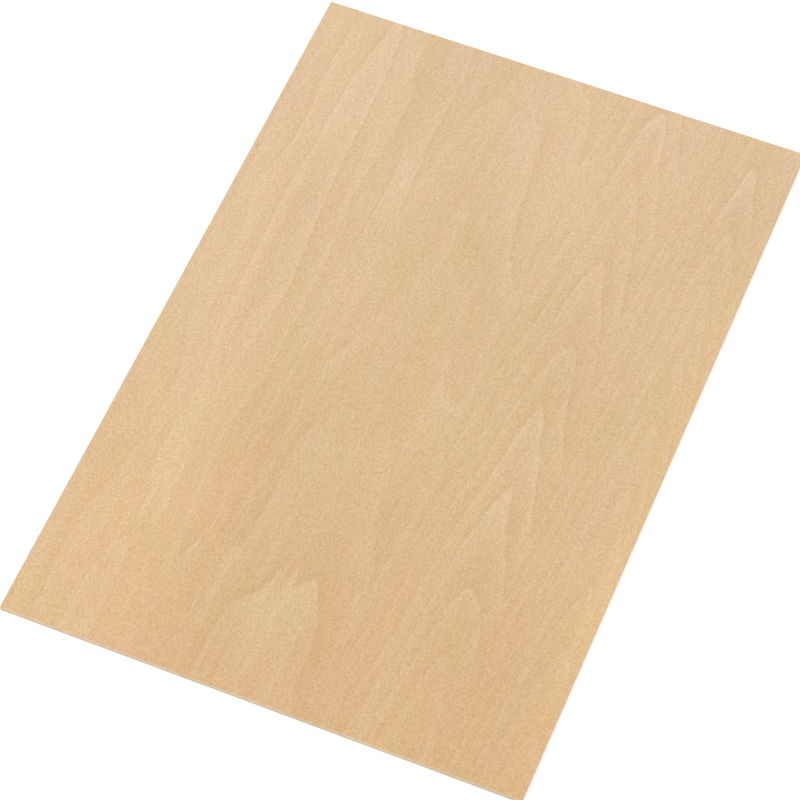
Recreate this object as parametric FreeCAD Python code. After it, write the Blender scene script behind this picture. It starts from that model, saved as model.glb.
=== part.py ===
"""Balsa wood sheet: one flat rectangular piece of stock, sawn square, with its grain along its length.

Frame: origin at the centre of the underside, +Z up through the thickness, +Y along the grain (the length)
and +X across the grain (the width). All sizes are in millimetres.
"""

import os

import FreeCAD
import Part

# Stock size, as the sheet is sold.
LENGTH = 300.0
WIDTH = 200.0
THICKNESS = 2.0

# The saw leaves crisp edges, and a light sanding takes them off.
CORNER_RADIUS = 0.4  # the four upright corners
ARRIS_RADIUS = 0.2  # the rims of both faces


def spans_thickness(edge):
    """Whether an edge stands between the two faces, as a corner does, and doesn't lie in one of them."""
    return edge.BoundBox.ZLength > THICKNESS / 2


def sawn_blank():
    """The sheet as it leaves the saw: a sharp-edged board, centred on the origin and standing on Z = 0."""
    low_corner = FreeCAD.Vector(-WIDTH / 2, -LENGTH / 2, 0)
    return Part.makeBox(WIDTH, LENGTH, THICKNESS, low_corner)


def rounded_corners(board):
    """The board with its four upright corners rounded, seen from above."""
    corners = [edge for edge in board.Edges if spans_thickness(edge)]
    return board.makeFillet(CORNER_RADIUS, corners)


def eased_rims(board):
    """The board with the rims of its upper face and its underside eased, all the way round."""
    rims = [edge for edge in board.Edges if not spans_thickness(edge)]
    return board.makeFillet(ARRIS_RADIUS, rims)


def main():
    """Builds the sheet, prints its size and volume, and writes its STEP file."""
    sheet = eased_rims(rounded_corners(sawn_blank()))
    box = sheet.optimalBoundingBox()
    print(f"sheet: {box.XLength:.2f} x {box.YLength:.2f} x {box.ZLength:.2f} mm, {sheet.Volume / 1000:.2f} cm3")
    print(f"valid: {sheet.isValid()}, solids: {len(sheet.Solids)}, faces: {len(sheet.Faces)}")
    os.makedirs("parts", exist_ok=True)
    sheet.exportStep("parts/sheet.step")


main()
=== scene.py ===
"""Looks of a sheet of balsa wood: the sanded board itself, and the plain studio that it lies in.

The wood is one solid pattern that runs right through the board. Growth rings are a field of ring numbers:
each whole number is the border between one year's dark, dense wood and the next year's pale, soft wood. Where
the cut grazes the rings the borders show as nested points, called flames, and where it meets them squarely
they show as straight lines along the grain. The same field colours the faces, ends and sides, and raises the
fine relief of the sanded surface.

The wood's own measures are in millimetres, across from the left edge and down from the far end. Everything
that Blender places is in metres.
"""

import logging
import math
from collections.abc import Callable
from dataclasses import asdict, dataclass
from enum import Enum
from typing import Any

import bmesh
import bpy
from mathutils import Matrix, Vector


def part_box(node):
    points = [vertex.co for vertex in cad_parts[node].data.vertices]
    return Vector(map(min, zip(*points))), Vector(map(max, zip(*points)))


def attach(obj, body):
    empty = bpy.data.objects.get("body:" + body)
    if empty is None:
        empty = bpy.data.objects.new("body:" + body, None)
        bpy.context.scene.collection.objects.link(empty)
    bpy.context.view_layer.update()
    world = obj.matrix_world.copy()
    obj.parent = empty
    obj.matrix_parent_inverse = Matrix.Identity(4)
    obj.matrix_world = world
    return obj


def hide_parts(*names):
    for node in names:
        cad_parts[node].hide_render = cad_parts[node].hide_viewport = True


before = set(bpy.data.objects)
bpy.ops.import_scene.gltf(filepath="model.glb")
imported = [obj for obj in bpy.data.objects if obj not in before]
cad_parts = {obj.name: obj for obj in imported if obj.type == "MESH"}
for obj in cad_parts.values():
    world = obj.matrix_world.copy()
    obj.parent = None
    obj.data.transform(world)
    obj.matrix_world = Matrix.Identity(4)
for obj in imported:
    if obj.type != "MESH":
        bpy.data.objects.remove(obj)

MM = 0.001
NODE = "sheet"  # the CAD node that the finished board stands for

log = logging.getLogger("balsa")


def paint(red: int, green: int, blue: int) -> tuple[float, float, float, float]:
    """Turns a colour as a paint chart gives it into the linear one that a shader takes.

    Args:
        red: Red, from 0 to 255.
        green: Green, from 0 to 255.
        blue: Blue, from 0 to 255.

    Returns:
        The linear colour, with full alpha.
    """

    def linear(level: int) -> float:
        """Undoes the curve of the sRGB standard for one channel, which is straight near black."""
        share, straight_end, steepness, offset, power = level / 255, 0.04045, 12.92, 0.055, 2.4
        return share / steepness if share <= straight_end else ((share + offset) / (1 + offset)) ** power

    return linear(red), linear(green), linear(blue), 1.0


# ---------------------------------------------------------------------------------------------------------
# Writing node trees as expressions


@dataclass(frozen=True)
class Value:
    """What comes out of one socket, which Python's arithmetic extends with Math nodes.

    Attributes:
        tree: The tree that the socket is in.
        socket: The output socket.
    """

    tree: "Tree"
    socket: bpy.types.NodeSocket

    def math(self, operation: str, *others: "float | Value") -> "Value":
        """Puts this value and the others through one Math node.

        Args:
            operation: The Math node's operation.
            *others: The node's second and third values, if it takes them.

        Returns:
            The result.
        """
        return self.tree.math(operation, self, *others)

    def __add__(self, other: "float | Value") -> "Value":
        """Gives self + other."""
        return self.math("ADD", other)

    def __sub__(self, other: "float | Value") -> "Value":
        """Gives self - other."""
        return self.math("SUBTRACT", other)

    def __rsub__(self, other: float) -> "Value":
        """Gives other - self."""
        return self.tree.math("SUBTRACT", other, self)

    def __mul__(self, other: "float | Value") -> "Value":
        """Gives self * other."""
        return self.math("MULTIPLY", other)

    def __truediv__(self, other: "float | Value") -> "Value":
        """Gives self / other."""
        return self.math("DIVIDE", other)

    def __pow__(self, power: "float | Value") -> "Value":
        """Gives self ** power."""
        return self.math("POWER", power)

    def __abs__(self) -> "Value":
        """Gives the size of self, without its sign."""
        return self.math("ABSOLUTE")

    def bell(self) -> "Value":
        """Gives a bell curve: 1 where self is 0, and falling to 0 a little past 1 and -1."""
        return (self * self * -1.0).math("EXPONENT")

    def between(self, start: float, end: float) -> "Value":
        """Gives a smooth step from 0 to 1.

        Args:
            start: Where the step leaves 0.
            end: Where the step reaches 1.

        Returns:
            The step.
        """
        sockets = {"Value": self, "From Min": start, "From Max": end}
        return self.tree.node("ShaderNodeMapRange", {"interpolation_type": "SMOOTHSTEP"}, sockets)


@dataclass(frozen=True)
class Tree:
    """A node tree of a material, of the world or of a modifier, written one node at a time.

    Attributes:
        nodes: Blender's own tree.
    """

    nodes: bpy.types.NodeTree

    def node(
        self,
        kind: str,
        settings: dict[str, Any] | None = None,
        sockets: dict[int | str, Any] | None = None,
        output: int | str = 0,
    ) -> Value:
        """Adds any node.

        Args:
            kind: The node's type.
            settings: The node's own settings, which are set before its sockets.
            sockets: What each named or numbered input is given: a value to link, or a constant.
            output: The output that is wanted.

        Returns:
            The value of that output.
        """
        made = self.nodes.nodes.new(kind)
        for name, setting in (settings or {}).items():
            setattr(made, name, setting)
        self.feed(made, sockets or {})
        return Value(self, made.outputs[output])

    def feed(self, node: bpy.types.Node, sockets: dict[int | str, Any]) -> None:
        """Links or sets a node's inputs.

        Args:
            node: The node.
            sockets: What each named or numbered input is given: a value to link, or a constant.
        """
        for key, given in sockets.items():
            if isinstance(given, Value):
                self.nodes.links.new(given.socket, node.inputs[key])
            else:
                node.inputs[key].default_value = given

    def math(self, operation: str, *terms: float | Value) -> Value:
        """Adds a Math node.

        Args:
            operation: What it does.
            *terms: Its one to three values.

        Returns:
            The result.
        """
        return self.node("ShaderNodeMath", {"operation": operation}, dict(enumerate(terms)))

    def mix(self, share: float | Value, first: Any, second: Any) -> Value:
        """Mixes two colours.

        Args:
            share: How much of the second colour there is, from 0 to 1.
            first: The first colour.
            second: The second colour.

        Returns:
            The mixed colour.
        """
        factor, first_colour, second_colour, result = 0, 6, 7, 2
        settings = {"data_type": "RGBA", "clamp_factor": True}
        sockets = {factor: share, first_colour: first, second_colour: second}
        return self.node("ShaderNodeMix", settings, sockets, result)

    def scaled(self, vector: Value, by: float | Value) -> Value:
        """Gives a vector or a colour made longer or brighter.

        Args:
            vector: The vector or colour.
            by: How many times.

        Returns:
            The scaled vector or colour.
        """
        return self.node("ShaderNodeVectorMath", {"operation": "SCALE"}, {0: vector, "Scale": by})

    def lightened(self, colour: Value, by: Value, tint: tuple[float, float, float]) -> Value:
        """Makes a colour lighter, or darker where the amount is negative.

        Args:
            colour: The colour.
            by: By how much, as a share of it.
            tint: How much of that each of red, green and blue takes.

        Returns:
            The lighter colour.
        """
        multiply_add = {"operation": "MULTIPLY_ADD"}
        times = self.node("ShaderNodeVectorMath", multiply_add, {0: by, 1: tint, 2: (1.0, 1.0, 1.0)})
        return self.node("ShaderNodeVectorMath", {"operation": "MULTIPLY"}, {0: colour, 1: times})

    def noise(
        self,
        place: Value,
        cell: tuple[float, float, float],
        seed: float,
        detail: float = 0.0,
    ) -> Value:
        """Adds soft random variation, which is centred on 0 with a spread of about 1.

        Args:
            place: The point, in millimetres.
            cell: How long one variation is across, along and through the wood, in millimetres.
            seed: A number that sets this noise apart from the others.
            detail: How many finer layers it has.

        Returns:
            The variation.
        """
        usual, spread = 0.5, 0.12
        shares = (1.0, 1.7, 0.6)  # of the seed, by which the pattern is moved across, along and through
        squeezed, moved = tuple(1 / size for size in cell), tuple(seed * share for share in shares)
        stretch = {0: place, 1: squeezed, 2: moved}
        at = self.node("ShaderNodeVectorMath", {"operation": "MULTIPLY_ADD"}, stretch)
        sockets = {"Vector": at, "Scale": 1.0, "Detail": detail, "Roughness": 0.5}
        return (self.node("ShaderNodeTexNoise", {"noise_dimensions": "3D"}, sockets) - usual) / spread


# ---------------------------------------------------------------------------------------------------------
# The wood


@dataclass(frozen=True)
class Place:
    """Where a point of the wood is, in millimetres, as values in a node tree.

    Attributes:
        tree: The tree that the values are in.
        solid: The point as a vector, from the middle of the underside.
        across: How far it is from the left edge.
        down: How far it is from the far end, with the grain.
        up: How far it is above the underside.
    """

    tree: Tree
    solid: Value
    across: Value
    down: Value
    up: Value

    @classmethod
    def of(cls, tree: Tree, position: Value, size: Vector) -> "Place":
        """Measures a point of the board.

        Args:
            tree: The tree that the values are in.
            position: The point in the object's own coordinates, in metres.
            size: The board's size, in metres.

        Returns:
            The place.
        """
        solid = tree.scaled(position, 1 / MM)
        x, y, z = (tree.node("ShaderNodeSeparateXYZ", None, {0: solid}, axis) for axis in "XYZ")
        return cls(tree, solid, x + size.x / MM / 2, size.y / MM / 2 - y, z)

    def noise(self, cell: tuple[float, float, float], seed: float, detail: float = 0.0) -> Value:
        """Gives the tree's noise at this place."""
        return self.tree.noise(self.solid, cell, seed, detail)


@dataclass(frozen=True)
class Flame:
    """A column of nested points, one for each ring that the cut grazes. The points look to the far end.

    Attributes:
        far: Where its middle line starts, across the far end.
        near: Where its middle line ends, across the near end.
        tip: How far down its first point is.
        spacing: How far each point is below the one before.
        spread: How far a point's sides have opened at one spacing below its tip.
        bluntness: 1 for straight sides, 2 for a round arch, and more for a square one.
        lead: How many rings it is ahead of a column with a lead of 0.
    """

    far: float
    near: float
    tip: float
    spacing: float
    spread: float
    bluntness: float = 1.5
    lead: float = 0.0

    def rings(self, place: Place, length: float) -> Value:
        """Counts the rings of this column.

        Args:
            place: Where.
            length: The board's length, in millimetres.

        Returns:
            The ring number.
        """
        middle = place.down * ((self.near - self.far) / length) + self.far
        opened = (abs(place.across - middle) / self.spread) ** self.bluntness
        return place.down / self.spacing + (1 + self.lead - self.tip / self.spacing) - opened


@dataclass(frozen=True)
class Eye:
    """A long swell in the rings, which shows as a closed loop, or as a pinch if it is negative.

    Attributes:
        across: Where its middle is, across.
        down: Where its middle is, down.
        half_width: How far it reaches to each side.
        half_length: How far it reaches up and down the grain.
        rings: How many rings high it is.
    """

    across: float
    down: float
    half_width: float
    half_length: float
    rings: float

    def swell(self, place: Place) -> Value:
        """Works out how many rings this eye adds at a place.

        Args:
            place: Where.

        Returns:
            The rings that it adds.
        """
        along = ((place.down - self.down) / self.half_length) ** 2.0
        width = ((place.across - self.across) / self.half_width).bell()
        return (1 - along).math("MAXIMUM", 0.0) * width * self.rings


@dataclass(frozen=True)
class Wander:
    """How far the rings stray from their smooth course.

    Attributes:
        cell: How long one stray is across, along and through the wood.
        rings: How far it strays, in rings.
        seed: What sets it apart from the others.
    """

    cell: tuple[float, float, float]
    rings: float
    seed: float


@dataclass(frozen=True)
class Spot:
    """A long, soft-edged spot of the board, where something is stronger than elsewhere.

    Attributes:
        across: Where its middle is, across.
        down: Where its middle is, down.
        half_width: How far it reaches to each side.
        half_length: How far it reaches up and down the grain.
        share: How much stronger it is in its middle.
    """

    across: float
    down: float
    half_width: float
    half_length: float
    share: float

    def weight(self, place: Place) -> Value:
        """Works out how strong this spot is at a place.

        Args:
            place: Where.

        Returns:
            Its share there.
        """
        over = ((place.across - self.across) / self.half_width).bell()
        along = ((place.down - self.down) / self.half_length).bell()
        return over * along * self.share


@dataclass(frozen=True)
class Growth:
    """The growth rings of this board.

    Attributes:
        length: The board's length.
        thickness: The board's thickness.
        ring_depth: How thick one ring is, through the board.
        flames: The columns of points, from the right edge to the left.
        eyes: The loops and pinches.
        wanders: The strays, from broad to fine.
        bold: Where the rings' borders are bolder than usual, or fainter where the share is negative.
        usual_boldness: How bold they are away from those spots.
        joint: How softly two columns run into each other, in rings.
    """

    length: float
    thickness: float
    ring_depth: float = 4.0
    flames: tuple[Flame, ...] = (
        Flame(far=184, near=195, tip=12, spacing=32, spread=7.1, bluntness=1.35, lead=5),
        Flame(far=142, near=156, tip=6, spacing=37, spread=11, lead=1),
        Flame(far=86, near=94, tip=5, spacing=80, spread=26, bluntness=1.6),
        Flame(far=60, near=61, tip=-200, spacing=700, spread=5.6, bluntness=6, lead=2),
        Flame(far=29.5, near=29.5, tip=0, spacing=900, spread=17, lead=1.9),
    )
    eyes: tuple[Eye, ...] = (
        Eye(across=29.5, down=108, half_width=8.8, half_length=92, rings=0.9),
        Eye(across=28.5, down=278, half_width=3.6, half_length=24, rings=0.5),
        Eye(across=166, down=0, half_width=6, half_length=50, rings=1.2),
        Eye(across=13, down=215, half_width=7, half_length=60, rings=-0.5),
        Eye(across=3, down=185, half_width=5, half_length=60, rings=0.6),
    )
    wanders: tuple[Wander, ...] = (
        Wander(cell=(14, 60, 14), rings=0.13, seed=3.1),
        Wander(cell=(2.5, 40, 2.5), rings=0.028, seed=7.9),
        Wander(cell=(0.8, 14, 0.8), rings=0.014, seed=11.3),
    )
    bold: tuple[Spot, ...] = (
        Spot(across=142, down=10, half_width=10, half_length=20, share=0.9),
        Spot(across=147, down=98, half_width=13, half_length=20, share=0.8),
        Spot(across=150, down=175, half_width=15, half_length=55, share=0.65),
        Spot(across=183, down=22, half_width=6, half_length=28, share=0.9),
        Spot(across=94, down=260, half_width=20, half_length=28, share=0.9),
        Spot(across=30, down=70, half_width=14, half_length=75, share=0.8),
        Spot(across=60, down=150, half_width=9, half_length=150, share=0.8),
        Spot(across=110, down=55, half_width=8, half_length=50, share=0.6),
        Spot(across=90, down=125, half_width=18, half_length=75, share=-0.4),
    )
    usual_boldness: float = 0.42
    joint: float = 0.6

    def rings(self, place: Place) -> Value:
        """Counts the rings at a place, as a number whose whole part changes at each ring's border.

        Args:
            place: Where.

        Returns:
            The ring number.
        """
        first, *others = (flame.rings(place, self.length) for flame in self.flames)
        count = first
        for other in others:
            count = count.math("SMOOTH_MAX", other, self.joint)
        for eye in self.eyes:
            count = count + eye.swell(place)
        for wander in self.wanders:
            count = count + place.noise(wander.cell, wander.seed) * wander.rings
        return count + (place.up - self.thickness) / self.ring_depth

    def boldness(self, place: Place) -> Value:
        """Gives how bold the rings' borders are at a place."""
        first, *others = (spot.weight(place) for spot in self.bold)
        return sum(others, first) + self.usual_boldness


class Cut(Enum):
    """How a surface of the board cuts the grain. The value is the axis that such a surface faces."""

    SIDE = 0
    END = 1
    FACE = 2

    @classmethod
    def of(cls, normal: Vector) -> "Cut":
        """Says which cut a surface is. The eased rims of the faces go with the sides and ends.

        Args:
            normal: Where the surface looks.

        Returns:
            The cut.
        """
        flattest_rim = 0.85
        if abs(normal[cls.FACE.value]) > flattest_rim:
            return cls.FACE
        return cls.SIDE if abs(normal[cls.SIDE.value]) > abs(normal[cls.END.value]) else cls.END


@dataclass(frozen=True)
class Year:
    """How the wood changes through one ring, from its pale start to its dark end.

    Attributes:
        border: How soon the pale wood has set in, as a share of the ring.
        line_reach: How far the pale line at the start of the ring reaches.
        line_power: How abruptly it ends.
        wash_reach: How far the fainter wash behind that line reaches.
        pale_share: How much of the pale wood each of the two brings.
        late_reach: How far back from the end of the ring the dark wood reaches.
        late_power: How abruptly it begins.
        ripening: How much of the dark wood comes in evenly over the ring.
        weakest: How bold the faintest year is.
        strongest: How bold the boldest year is.
    """

    border: float = 0.07
    line_reach: float = 0.1
    line_power: float = 1.2
    wash_reach: float = 0.42
    pale_share: float = 0.5
    late_reach: float = 0.14
    late_power: float = 1.5
    ripening: float = 0.3
    weakest: float = 0.75
    strongest: float = 1.25

    def strength(self, rings: Value) -> Value:
        """Gives how bold the year of a ring number is, which is drawn anew for each year."""
        drawn = rings.tree.node(
            "ShaderNodeTexWhiteNoise", {"noise_dimensions": "1D"}, {"W": rings.math("FLOOR")}
        )
        return drawn * (self.strongest - self.weakest) + self.weakest

    def pale(self, age: Value, strength: Value) -> Value:
        """Gives how much of the pale wood there is.

        Args:
            age: How much of the year has passed, from 0 to 1.
            strength: How bold the border is there.

        Returns:
            The pale wood.
        """
        line = ((age / self.line_reach) ** self.line_power * -1.0).math("EXPONENT")
        wash = (age / self.wash_reach).bell()
        return (line + wash) * age.between(0.0, self.border) * strength * self.pale_share

    def late(self, age: Value, strength: Value) -> Value:
        """Gives how much of the dark wood there is.

        Args:
            age: How much of the year has passed, from 0 to 1.
            strength: How bold the border is there.

        Returns:
            The dark wood.
        """
        ended = (((1 - age) / self.late_reach) ** self.late_power * -1.0).math("EXPONENT")
        return ended * strength + age * self.ripening


@dataclass(frozen=True)
class Wood:
    """What the wood is like at one place, as values in a node tree.

    Attributes:
        pale: How much of the pale, soft wood there is, at the start of a ring.
        late: How much of the dark, dense wood there is, at the end of a ring.
        fleck: The fine mottle of cut fibres.
        fibre: The streaks of the fibres.
        streak: Broader streaks, several fibres wide.
        cloud: Slow changes of tone over the board.
        blush: Changes of hue from place to place, from yellow to pink.
        pore: The open vessels, as short dark dashes.
    """

    pale: Value
    late: Value
    fleck: Value
    fibre: Value
    streak: Value
    cloud: Value
    blush: Value
    pore: Value

    @classmethod
    def at(cls, place: Place, growth: Growth) -> "Wood":
        """Works out the wood at a place.

        Args:
            place: Where.
            growth: The board's rings.

        Returns:
            The wood there.
        """
        year, rings = Year(), growth.rings(place)
        age = rings.math("FRACT")
        strength = year.strength(rings) * growth.boldness(place)
        vessel = place.noise(cell=(0.35, 2.0, 0.35), seed=31.7)
        return cls(
            pale=year.pale(age, strength),
            late=year.late(age, strength),
            fleck=place.noise(cell=(0.6, 1.0, 0.6), seed=17.3),
            fibre=place.noise(cell=(0.5, 7.0, 0.5), seed=23.9),
            streak=place.noise(cell=(2.8, 80.0, 2.8), seed=41.1, detail=1.0),
            cloud=place.noise(cell=(38.0, 90.0, 38.0), seed=53.7, detail=1.0),
            blush=place.noise(cell=(26.0, 40.0, 26.0), seed=61.3, detail=2.0),
            pore=vessel.between(start=1.1, end=2.2),
        )


@dataclass(frozen=True)
class Blend:
    """A sum of what the wood is like at a place, by how much each thing counts.

    Attributes:
        pale: How much the pale wood counts.
        late: How much the dark wood counts.
        pore: How much the open vessels count.
        fleck: How much the mottle counts.
        fibre: How much the fibres count.
        streak: How much the broader streaks count.
        cloud: How much the slow changes of tone count.
        usual: What the sum starts from.
    """

    pale: float = 0.0
    late: float = 0.0
    pore: float = 0.0
    fleck: float = 0.0
    fibre: float = 0.0
    streak: float = 0.0
    cloud: float = 0.0
    usual: float = 0.0

    def of(self, wood: Wood) -> Value:
        """Adds up the things that count.

        Args:
            wood: The wood at the place.

        Returns:
            The sum.
        """
        counts = {name: count for name, count in asdict(self).items() if count and name != "usual"}
        first, *others = (getattr(wood, name) * count for name, count in counts.items())
        return sum(others, first) + self.usual


@dataclass(frozen=True)
class BareBalsa:
    """The finish of the board: sanded balsa with nothing on it.

    Attributes:
        far: The body colour at the far end.
        near: The body colour at the near end.
        rim: What the body colour turns to along the left edge.
        rim_share: How much it does so at that edge.
        rim_span: Where it starts to fade out and where it ends, in millimetres from that edge.
        pale: The soft wood at the start of a ring.
        late: The dense wood at the end of a ring.
        warm: The warmer wood of the patches and the streaks.
        honey: The brighter, yellower wood near the long edges.
        pore: The inside of an open vessel.
        yellow: The hue that the body turns to in places.
        pink: The hue that it turns to in others.
        end: What the cut ends of the fibres look like together.
        end_shares: How much of that a side shows, and how much an end.
        painted_shade: The painted shade along the lower rim of a side or an end, where the board meets the
            floor.
        painted_shade_share: How much of that there is along the very bottom.
        painted_shade_span: Where it starts to fade out and where it ends, in millimetres above the underside.
        patches: Where the warm patches are.
        glows: Where the wood is the colour of honey.
        blush_share: How much yellow or pink the changes of hue bring.
        warm_share: How much warm wood a broader streak brings.
        light_share: How much pale wood the gaps between those streaks bring.
        pale_share: How much the pale wood of the rings shows.
        late_share: How much the dark wood of the rings shows.
        pore_share: How much the inside of a vessel shows.
        shade: What makes the wood lighter and darker.
        mottle: How much of that shade each of red, green and blue takes.
        relief: What stands up from the surface, for the light alone.
        relief_depth: How high it stands, in metres.
        relief_share: How much of it the light shows.
        roughness: How matt the sanded surface is.
        shine: How strongly it reflects.
    """

    far: tuple[float, ...] = paint(226, 196, 158)
    near: tuple[float, ...] = paint(220, 182, 134)
    rim: tuple[float, ...] = paint(233, 201, 163)
    rim_share: float = 0.5
    rim_span: tuple[float, float] = (20.0, 60.0)
    pale: tuple[float, ...] = paint(240, 218, 190)
    late: tuple[float, ...] = paint(206, 164, 116)
    warm: tuple[float, ...] = paint(221, 174, 118)
    honey: tuple[float, ...] = paint(240, 200, 138)
    pore: tuple[float, ...] = paint(176, 132, 88)
    yellow: tuple[float, ...] = paint(218, 190, 136)
    pink: tuple[float, ...] = paint(232, 190, 160)
    end: tuple[float, ...] = paint(234, 214, 184)
    end_shares: tuple[float, float] = (0.5, 0.85)
    # Painted shade: the darker colour of the lower rim of the sides and ends, in place of the shade at the
    # floor.
    painted_shade: tuple[float, ...] = paint(152, 134, 112)
    painted_shade_share: float = 0.7
    painted_shade_span: tuple[float, float] = (0.3, 0.9)
    patches: tuple[Spot, ...] = (
        Spot(across=50, down=215, half_width=7, half_length=55, share=0.18),
        Spot(across=122, down=278, half_width=11, half_length=45, share=0.18),
        Spot(across=172, down=255, half_width=7, half_length=60, share=0.15),
        Spot(across=165, down=62, half_width=14, half_length=30, share=0.1),
        Spot(across=90, down=285, half_width=16, half_length=20, share=0.12),
    )
    glows: tuple[Spot, ...] = (
        Spot(across=24, down=255, half_width=32, half_length=70, share=0.3),
        Spot(across=199, down=190, half_width=8, half_length=110, share=0.35),
    )
    blush_share: float = 0.15
    warm_share: float = 0.09
    light_share: float = 0.06
    pale_share: float = 0.3
    late_share: float = 0.17
    pore_share: float = 0.1
    shade: Blend = Blend(fleck=0.043, fibre=0.01, streak=0.004, cloud=0.014)
    mottle: tuple[float, float, float] = (0.7, 1.04, 1.25)
    relief: Blend = Blend(fleck=0.5, fibre=0.15, pore=-0.5)
    relief_depth: float = 0.012 * MM
    relief_share: float = 0.5
    roughness: Blend = Blend(fibre=0.03, pore=0.1, usual=0.68)
    shine: float = 0.3

    @staticmethod
    def fading(distance: Value, share: float, span: tuple[float, float]) -> Value:
        """Gives a share that fades out with the distance from an edge.

        Args:
            distance: The distance.
            share: The share at the edge.
            span: Where it starts to fade out, and where it ends.

        Returns:
            The share.
        """
        return share - distance.between(*span) * share

    @staticmethod
    def spotted(place: Place, base: Value, spots: tuple[Spot, ...], colour: tuple[float, ...]) -> Value:
        """Lays spots of another colour over a colour.

        Args:
            place: Where.
            base: The colour that they lie on.
            spots: The spots.
            colour: Their colour.

        Returns:
            The spotted colour.
        """
        first, *others = (spot.weight(place) for spot in spots)
        return place.tree.mix(sum(others, first), base, colour)

    def body(self, place: Place, growth: Growth) -> Value:
        """Gives the colour of the wood's body, without its rings or fibres.

        Args:
            place: Where.
            growth: The board's rings, for its length.

        Returns:
            The colour.
        """
        lengthwise = place.tree.mix(place.down / growth.length, self.far, self.near)
        rim = self.fading(place.across, self.rim_share, self.rim_span)
        rimmed = place.tree.mix(rim, lengthwise, self.rim)
        patched = self.spotted(place, rimmed, self.patches, self.warm)
        return self.spotted(place, patched, self.glows, self.honey)

    def colour(self, place: Place, wood: Wood, growth: Growth, cut: Cut) -> Value:
        """Gives the colour of the wood.

        Args:
            place: Where.
            wood: The wood there.
            growth: The board's rings.
            cut: How the surface cuts the grain.

        Returns:
            The colour.
        """
        mix = place.tree.mix
        colour = self.body(place, growth)
        colour = mix(wood.blush * self.blush_share, colour, self.pink)
        colour = mix(wood.blush * -self.blush_share, colour, self.yellow)
        colour = mix(wood.streak * self.warm_share, colour, self.warm)
        colour = mix(wood.streak * -self.light_share, colour, self.pale)
        if cut is not Cut.FACE:
            colour = mix(self.end_shares[cut.value], colour, self.end)
            # Painted shade: the lower rim of a side or an end darkens towards the underside, as the shade at
            # the floor would.
            colour = mix(self.fading(place.up, self.painted_shade_share, self.painted_shade_span), colour, self.painted_shade)
        colour = mix(wood.pale * self.pale_share, colour, self.pale)
        colour = mix(wood.late * self.late_share, colour, self.late)
        colour = mix(wood.pore * self.pore_share, colour, self.pore)
        return place.tree.lightened(colour, self.shade.of(wood), self.mottle)

    def material(self, cut: Cut, growth: Growth, size: Vector) -> bpy.types.Material:
        """Makes the material of one kind of surface.

        Args:
            cut: How the surface cuts the grain.
            growth: The board's rings.
            size: The board's size, in metres.

        Returns:
            The material.
        """
        made = bpy.data.materials.new(f"balsa_{cut.name.lower()}")
        made.use_nodes = True
        tree = Tree(made.node_tree)
        place = Place.of(tree, tree.node("ShaderNodeTexCoord", output="Object"), size)
        wood = Wood.at(place, growth)
        height = self.relief.of(wood)
        bump = {"Strength": self.relief_share, "Distance": self.relief_depth, "Height": height}
        sockets = {
            "Base Color": self.colour(place, wood, growth, cut),
            "Roughness": self.roughness.of(wood),
            "Normal": tree.node("ShaderNodeBump", None, bump),
            "Specular IOR Level": self.shine,
        }
        tree.feed(made.node_tree.nodes["Principled BSDF"], sockets)
        return made


# ---------------------------------------------------------------------------------------------------------
# The board


def select(parts: str, wanted: Callable[[Any], bool]) -> None:
    """Selects parts of the mesh that is in edit mode, and nothing else.

    Args:
        parts: Which parts: edges or faces.
        wanted: Says whether an edge or a face is wanted.
    """
    bpy.ops.mesh.select_all(action="DESELECT")
    mesh = bpy.context.edit_object.data
    shape = bmesh.from_edit_mesh(mesh)
    found = [part for part in getattr(shape, parts) if wanted(part)]
    for part in found:
        part.select_set(True)
    bmesh.update_edit_mesh(mesh)


def runs(edge: bmesh.types.BMEdge, axis: int, shortest: float) -> bool:
    """Says whether an edge runs along an axis and is long enough.

    Args:
        edge: The edge.
        axis: The axis: 0, 1 or 2.
        shortest: The least length, in metres.

    Returns:
        Whether it does.
    """
    straight_share = 0.999  # the least share of the edge's length that is along the axis
    start, end = (corner.co for corner in edge.verts)
    span = end - start
    return abs(span[axis]) > shortest and abs(span[axis]) > straight_share * span.length


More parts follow.
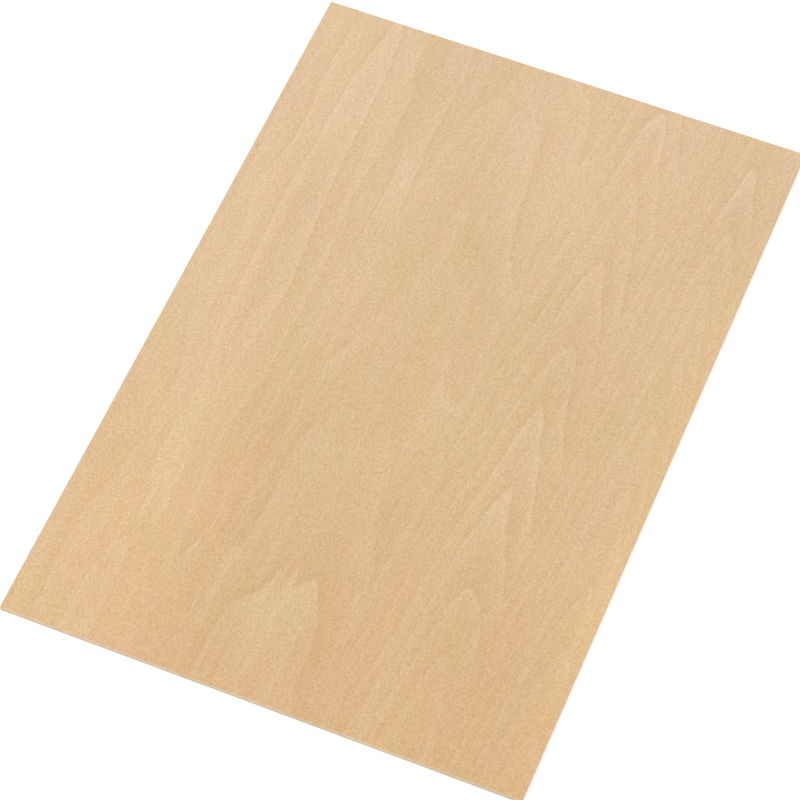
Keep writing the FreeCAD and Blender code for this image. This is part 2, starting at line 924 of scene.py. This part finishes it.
@dataclass
class Board:
    """The sheet of balsa: sawn, with its corners and arrises eased, and sanded.

    Attributes:
        low: The lowest corner, in metres.
        high: The highest corner, in metres.
        corner_radius: The radius of the four upright corners, in metres.
        corner_facets: How many flats make up each of those corners.
        arris_radius: The radius of the rims of both faces, in metres.
        arris_facets: How many flats make up each of those rims.
        cells: Into how many cells the board is ruled across, along and through.
        relief: The most that sanding lowers the surface, in metres.
        softness: How soft the wood is under sanding, where 1 is lowered the most and 0 not at all.
        finish: The wood's finish.
    """

    low: Vector
    high: Vector
    corner_radius: float = 0.4 * MM
    corner_facets: int = 4
    arris_radius: float = 0.2 * MM
    arris_facets: int = 3
    cells: tuple[int, int, int] = (360, 100, 4)
    relief: float = 0.02 * MM
    softness: Blend = Blend(pale=0.4, pore=0.2, fibre=0.04, late=-0.3, usual=0.4)
    finish: BareBalsa = BareBalsa()

    @property
    def size(self) -> Vector:
        """The board's width, length and thickness, in metres."""
        return self.high - self.low

    @property
    def growth(self) -> Growth:
        """The board's growth rings."""
        return Growth(length=self.size.y / MM, thickness=self.size.z / MM)

    def build(self) -> bpy.types.Object:
        """Makes and dresses the board.

        Returns:
            The finished piece.
        """
        board = self.saw()
        bpy.ops.object.mode_set(mode="EDIT")
        self.ease()
        self.rule()
        bpy.ops.object.mode_set(mode="OBJECT")
        self.sand(board)
        self.dress(board)
        return board

    def saw(self) -> bpy.types.Object:
        """Cuts the sharp-edged blank.

        Returns:
            The blank.
        """
        bpy.ops.object.select_all(action="DESELECT")
        bpy.ops.mesh.primitive_cube_add(size=1.0, location=(self.low + self.high) / 2, scale=self.size)
        blank = bpy.context.active_object
        blank.name = blank.data.name = "balsa_sheet"
        bpy.ops.object.transform_apply(location=True, rotation=True, scale=True)
        return blank

    def ease(self) -> None:
        """Rounds the upright corners, and then the rims of both faces."""
        select("edges", lambda edge: runs(edge, Cut.FACE.value, self.size.z / 2))
        self.round_off(self.corner_radius, self.corner_facets)
        select("edges", lambda edge: edge.verts[0].co.z == edge.verts[1].co.z)
        self.round_off(self.arris_radius, self.arris_facets)

    @staticmethod
    def round_off(radius: float, facets: int) -> None:
        """Rounds the selected edges to a radius, with a number of flats."""
        bpy.ops.mesh.bevel(offset=radius, segments=facets, affect="EDGES", clamp_overlap=False)

    def rule(self) -> None:
        """Rules the board into cells, fine across the grain and long with it.

        A first cut beside each side and end keeps the cells between the rounded corners.
        """
        same_point, shortest_ruled = 0.001 * MM, 1.0 * MM
        for axis in (Cut.SIDE.value, Cut.END.value):
            for side in (self.low[axis] + self.corner_radius, self.high[axis] - self.corner_radius):
                point, normal = Vector(), Vector()
                point[axis] = side
                normal[axis] = 1.0
                bpy.ops.mesh.select_all(action="SELECT")
                bpy.ops.mesh.bisect(plane_co=point, plane_no=normal, threshold=same_point)
        for axis, cells in enumerate(self.cells):
            shortest = min(self.size[axis] / 2, shortest_ruled)
            for share in self.steps(cells):
                select("edges", lambda edge: runs(edge, axis, shortest))
                bpy.ops.mesh.subdivide(number_cuts=share - 1)

    @staticmethod
    def steps(cells: int) -> list[int]:
        """Splits a number of cells into factors that one subdivision can make.

        Args:
            cells: How many cells are wanted.

        Returns:
            The factors.
        """
        most = 100  # as many as one subdivision makes
        if cells <= most:
            return [cells]
        first = max(share for share in range(1, most + 1) if cells % share == 0)
        return [first, *Board.steps(cells // first)]

    def sand(self, board: bpy.types.Object) -> None:
        """Lowers the surface a little where the wood is soft, as sanding does.

        Args:
            board: The ruled board.
        """
        sharpest_smooth = math.radians(35)
        group = bpy.data.node_groups.new("sanded_grain", "GeometryNodeTree")
        for way in ("INPUT", "OUTPUT"):
            group.interface.new_socket("Geometry", in_out=way, socket_type="NodeSocketGeometry")
        tree = Tree(group)
        place = Place.of(tree, tree.node("GeometryNodeInputPosition"), self.size)
        softness = self.softness.of(Wood.at(place, self.growth))
        depth = softness.math("MAXIMUM", 0.0).math("MINIMUM", 1.0) * -self.relief
        sunk = tree.scaled(tree.node("GeometryNodeInputNormal"), depth)
        blank = tree.node("NodeGroupInput")
        moved = tree.node("GeometryNodeSetPosition", None, {"Geometry": blank, "Offset": sunk})
        tree.feed(group.nodes.new("NodeGroupOutput"), {0: moved})
        sanding = board.modifiers.new("sanding", "NODES")
        sanding.node_group = group
        bpy.ops.object.modifier_apply(modifier=sanding.name)
        bpy.ops.object.shade_smooth_by_angle(angle=sharpest_smooth)

    def dress(self, board: bpy.types.Object) -> None:
        """Gives each kind of surface its material.

        Args:
            board: The sanded board.
        """
        for cut in Cut:
            board.data.materials.append(self.finish.material(cut, self.growth, self.size))
        bpy.ops.object.mode_set(mode="EDIT")
        for slot, cut in enumerate(Cut):
            board.active_material_index = slot
            select("faces", lambda face: Cut.of(face.normal) is cut)
            bpy.ops.object.material_slot_assign()
        bpy.ops.object.mode_set(mode="OBJECT")


# ---------------------------------------------------------------------------------------------------------
# The studio


@dataclass(frozen=True)
class Softbox:
    """A square lamp with a soft, even face.

    Attributes:
        name: What it does.
        place: Where it hangs, in metres.
        width: How wide it is, in metres.
        watts: How strong it is.
    """

    name: str
    place: tuple[float, float, float]
    width: float
    watts: float

    def hang(self, target: Vector) -> None:
        """Puts the lamp up.

        Args:
            target: What it points at.
        """
        bpy.ops.object.light_add(type="AREA", location=self.place)
        lamp = bpy.context.active_object
        lamp.name = lamp.data.name = self.name
        lamp.rotation_euler = (target - Vector(self.place)).to_track_quat("-Z", "Y").to_euler()
        lamp.data.size = self.width
        lamp.data.energy = self.watts
        lamp.visible_camera = False


@dataclass(frozen=True)
class Camera:
    """The camera, by where it looks from.

    Attributes:
        target: The point on the floor that it looks at, in metres.
        distance: How far off it stands, in metres.
        azimuth: How far round it stands, in degrees from the near end towards the right edge.
        elevation: How high it stands, in degrees.
        roll: How far it is turned about its own line of sight, in degrees.
        lens: The lens, in millimetres on a full frame.
    """

    target: tuple[float, float, float] = (-0.0022, -0.0134, 0.0)
    distance: float = 1.269
    azimuth: float = 22.94
    elevation: float = 57.27
    roll: float = -0.42
    lens: float = 154.0

    def stand(self) -> None:
        """Puts the camera up and makes it the scene's own."""
        turn, rise = math.radians(self.azimuth), math.radians(self.elevation)
        level = math.cos(rise)
        back = Vector((math.sin(turn) * level, -math.cos(turn) * level, math.sin(rise)))
        bpy.ops.object.camera_add(location=Vector(self.target) + back * self.distance)
        camera = bpy.context.active_object
        aim = (-back).to_track_quat("-Z", "Y").to_matrix() @ Matrix.Rotation(math.radians(self.roll), 3, "Z")
        camera.rotation_euler = aim.to_euler()
        camera.data.lens = self.lens
        bpy.context.scene.camera = camera


@dataclass(frozen=True)
class Studio:
    """A white floor in soft white light.

    Attributes:
        floor_width: How wide the floor is, in metres.
        floor_drop: How far the floor lies under the board, so that the two don't share a surface, in metres.
        floor_reach: How short a ray has to be for the floor to let it through, in metres.
        floor_paint: The floor's colour.
        floor_lift: How much the floor is brightened for the camera.
        sky: How strong the light from all round is.
        lamps: The lamps.
        camera: The camera.
    """

    floor_width: float = 12.0
    floor_drop: float = 0.3 * MM
    floor_reach: float = 1.2 * MM
    floor_paint: tuple[float, ...] = (0.9, 0.9, 0.9, 1.0)
    floor_lift: float = 0.3
    sky: float = 0.77
    lamps: tuple[Softbox, ...] = (
        Softbox("key", place=(-0.9, -0.9, 1.7), width=1.4, watts=9.6),
        Softbox("fill", place=(1.2, 0.6, 1.6), width=1.6, watts=4.3),
    )
    camera: Camera = Camera()

    def build(self, target: Vector) -> None:
        """Sets the studio up.

        Args:
            target: What the lamps point at.
        """
        self.lay_floor()
        self.light_sky()
        for lamp in self.lamps:
            lamp.hang(target)
        self.camera.stand()
        bpy.context.scene.view_settings.view_transform = "Standard"

    def lay_floor(self) -> None:
        """Lays the floor, which doesn't hide or darken the board's underside.

        It is clear from below, and it is clear to the shortest rays, which run between it and the board.
        """
        bpy.ops.mesh.primitive_plane_add(size=self.floor_width, location=(0.0, 0.0, -self.floor_drop))
        floor = bpy.context.active_object
        floor.name = floor.data.name = "floor"
        made = bpy.data.materials.new("white_floor")
        made.use_nodes = True
        tree = Tree(made.node_tree)
        seen = tree.node("ShaderNodeLightPath", output="Is Camera Ray")
        matt = tree.node("ShaderNodeBsdfDiffuse", None, {"Color": self.floor_paint})
        glow = tree.node("ShaderNodeEmission", None, {"Strength": seen * self.floor_lift})
        lit = tree.node("ShaderNodeAddShader", None, {0: matt, 1: glow})
        clear = tree.node("ShaderNodeBsdfTransparent")
        below = tree.node("ShaderNodeNewGeometry", output="Backfacing")
        close = tree.node("ShaderNodeLightPath", output="Ray Length").math("LESS_THAN", self.floor_reach)
        either = tree.node("ShaderNodeMixShader", None, {0: below.math("MAXIMUM", close), 1: lit, 2: clear})
        tree.feed(made.node_tree.nodes["Material Output"], {"Surface": either})
        floor.data.materials.append(made)

    def light_sky(self) -> None:
        """Lights the scene evenly from all round, and shows the camera plain white."""
        world = bpy.data.worlds.new("sky")
        world.use_nodes = True
        bpy.context.scene.world = world
        tree = Tree(world.node_tree)
        seen = tree.node("ShaderNodeLightPath", output="Is Camera Ray")
        white = (1.0, 1.0, 1.0, 1.0)
        sockets = {"Color": white, "Strength": seen * (1 - self.sky) + self.sky}
        tree.feed(world.node_tree.nodes["Background"], sockets)


def main() -> None:
    """Builds the board and the studio, and logs how many faces the finished board has."""
    logging.basicConfig(level=logging.INFO, format="%(name)s: %(message)s")
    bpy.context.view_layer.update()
    board = Board(*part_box(NODE))
    piece = board.build()
    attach(piece, "root")
    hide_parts(NODE)
    log.info("%s: %d faces", piece.name, len(piece.data.polygons))
    Studio().build(target=(board.low + board.high) / 2)
    log.info("studio set up")


if __name__ == "__main__":
    main()
